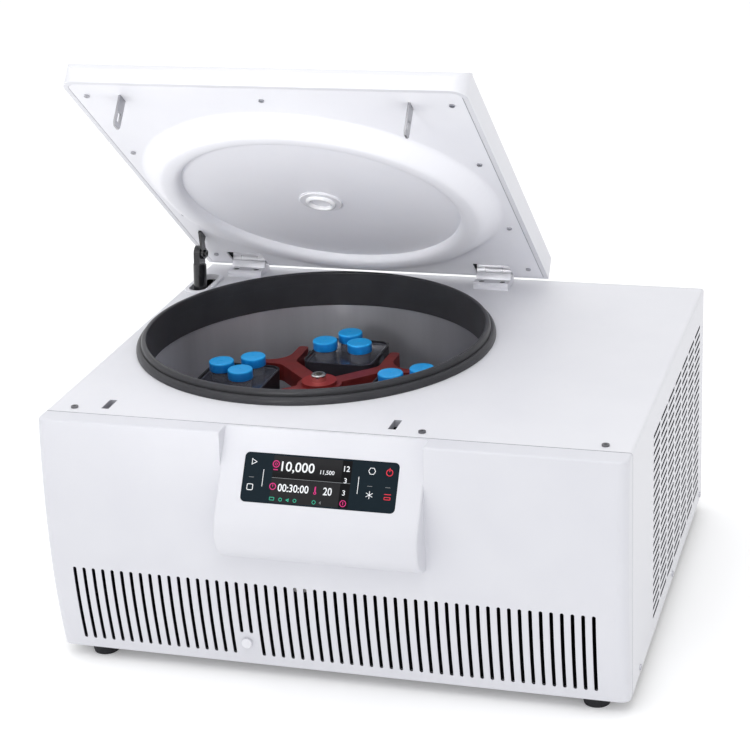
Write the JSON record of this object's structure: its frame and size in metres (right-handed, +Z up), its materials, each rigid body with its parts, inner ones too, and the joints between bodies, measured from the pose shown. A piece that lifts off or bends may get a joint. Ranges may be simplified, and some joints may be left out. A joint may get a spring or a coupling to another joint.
{
  "type": "refrigerated centrifuge",
  "caption": "Refrigerated bench centrifuge, lid open, with a swing-out rotor carrying square buckets of capped tubes in a round steel chamber, and a touch panel on the front.",
  "frame": {"origin": "middle of the footprint on the floor, under the centre of the overall box", "axes": "+X to the right seen from the front, +Y to the back where the lid is hinged, which is the shortest side with the lid open, +Z up"},
  "size_m": [0.734, 0.657, 0.7332],
  "materials": {
    "body_white": "satin white powder coat",
    "panel_white": "satin white moulding",
    "liner_white": "smooth white liner",
    "frame_steel": "zinc plated",
    "bowl_steel": "brushed stainless",
    "gasket_rubber": "satin",
    "foam": "rigid foam",
    "copper": "drawn tube",
    "motor_dark": "cast, painted",
    "shaft_steel": "ground",
    "rotor_red": "red anodised",
    "nut_chrome": "polished",
    "bucket_black": "black anodised",
    "adapter_smoke": "smoky, translucent in life",
    "tube_clear": "clear moulding",
    "cap_blue": "moulded",
    "port_clear": "polished",
    "screw_dark": "black oxide",
    "hinge_aluminium": "satin",
    "spring_black": "gloss black",
    "rod_chrome": "polished",
    "screen_glass": "gloss black-teal",
    "board_green": "laminate",
    "display_black": "lit panel",
    "condenser_metal": "plain fins",
    "black_plastic": "moulded"
  },
  "bodies": {
    "base": {"cabinet": "body_white", "front_panel": "panel_white", "rear_panel": "body_white", "base_plate": "frame_steel", "front_frame": "frame_steel", "feet": "gasket_rubber", "touch_glass": "screen_glass", "display_module": "display_black", "control_board": "board_green", "case_screws": "screw_dark", "chamber_gasket": "gasket_rubber", "chamber_bowl": "bowl_steel", "chamber_insulation": "foam", "evaporator_coil": "copper", "drive_motor": "motor_dark", "motor_mounts": "gasket_rubber", "hinge_blocks": "hinge_aluminium", "hinge_pins": "shaft_steel", "latch_unit": "motor_dark", "gas_spring_anchor": "frame_steel", "gas_spring_bezel": "panel_white", "compressor": "motor_dark", "condenser": "condenser_metal", "fan_motor": "motor_dark", "refrigerant_pipes": "copper", "power_inlet": "black_plastic"},
    "rotor": {"drive_shaft": "shaft_steel", "rotor_cross": "rotor_red", "rotor_nut": "nut_chrome", "trunnion_pins": "shaft_steel"},
    "lid": {"lid_shell": "panel_white", "lid_liner": "liner_white", "lid_port": "port_clear", "lid_insulation": "foam", "lid_screws": "screw_dark", "striker_plates": "frame_steel", "hinge_arms": "hinge_aluminium", "gas_spring_bracket": "spring_black"},
    "latch": {"latch_bar": "frame_steel"},
    "plug": {"release_plug": "panel_white"},
    "spring_cylinder": {"gas_spring_cylinder": "spring_black"},
    "spring_rod": {"gas_spring_rod": "rod_chrome"},
    "fan": {"condenser_fan": "black_plastic"},
    "switch": {"power_switch": "black_plastic"},
    "swing_bucket_1": {"bucket_1": "bucket_black", "adapter_1": "adapter_smoke", "tubes_1": "tube_clear", "caps_1": "cap_blue"},
    "swing_bucket_2": {"bucket_2": "bucket_black", "adapter_2": "adapter_smoke", "tubes_2": "tube_clear", "caps_2": "cap_blue"},
    "swing_bucket_3": {"bucket_3": "bucket_black", "adapter_3": "adapter_smoke", "tubes_3": "tube_clear", "caps_3": "cap_blue"},
    "swing_bucket_4": {"bucket_4": "bucket_black", "adapter_4": "adapter_smoke", "tubes_4": "tube_clear", "caps_4": "cap_blue"}
  },
  "joints": [
    {"name": "lid_hinge", "type": "hinge", "parent": "base", "child": "lid", "pos_m": [0, 0.3044, 0.353], "axis": [1, 0, 0], "range_deg": [0, 40.4], "deforming": ["chamber_gasket"]},
    {"name": "gas_spring_pivot", "type": "hinge", "parent": "lid", "child": "spring_cylinder", "pos_m": [-0.341, 0.2244, 0.384], "axis": [1, 0, 0], "range_deg": [-41.23, 0]},
    {"name": "gas_spring_stroke", "type": "slide", "parent": "spring_cylinder", "child": "spring_rod", "axis": [0, 0.1396, 0.9902], "range_m": [0, 0.05988]},
    {"name": "rotor_spin", "type": "hinge", "parent": "base", "child": "rotor", "pos_m": [-0.11, 0.0454, 0.254], "axis": [0, 0, 1], "continuous": true},
    {"name": "latch_slide", "type": "slide", "parent": "base", "child": "latch", "axis": [-1, 0, 0], "range_m": [0, 0.012]},
    {"name": "release_pull", "type": "slide", "parent": "base", "child": "plug", "axis": [0, -1, 0], "range_m": [0, 0.03]},
    {"name": "fan_spin", "type": "hinge", "parent": "base", "child": "fan", "pos_m": [0.29, 0.0354, 0.147], "axis": [1, 0, 0], "continuous": true},
    {"name": "switch_rock", "type": "hinge", "parent": "base", "child": "switch", "pos_m": [-0.266, 0.3224, 0.08], "axis": [-1, 0, 0], "range_deg": [0, 13]},
    {"name": "bucket_1_swing", "type": "hinge", "parent": "rotor", "child": "swing_bucket_1", "pos_m": [0.00998, 0.04331, 0.254], "axis": [-0.0175, -0.9998, 0], "range_deg": [0, 90]},
    {"name": "bucket_2_swing", "type": "hinge", "parent": "rotor", "child": "swing_bucket_2", "pos_m": [-0.10791, 0.16538, 0.254], "axis": [0.9998, -0.0175, 0], "range_deg": [0, 90]},
    {"name": "bucket_3_swing", "type": "hinge", "parent": "rotor", "child": "swing_bucket_3", "pos_m": [-0.22998, 0.04749, 0.254], "axis": [0.0175, 0.9998, 0], "range_deg": [0, 90]},
    {"name": "bucket_4_swing", "type": "hinge", "parent": "rotor", "child": "swing_bucket_4", "pos_m": [-0.11209, -0.07458, 0.254], "axis": [-0.9998, 0.0175, 0], "range_deg": [0, 90]}
  ],
  "couplings": [
    {"joint": "gas_spring_pivot", "follows": "lid_hinge", "ratio": -1.0202},
    {"joint": "gas_spring_stroke", "follows": "lid_hinge", "m_per_rad": 0.084914}
  ]
}
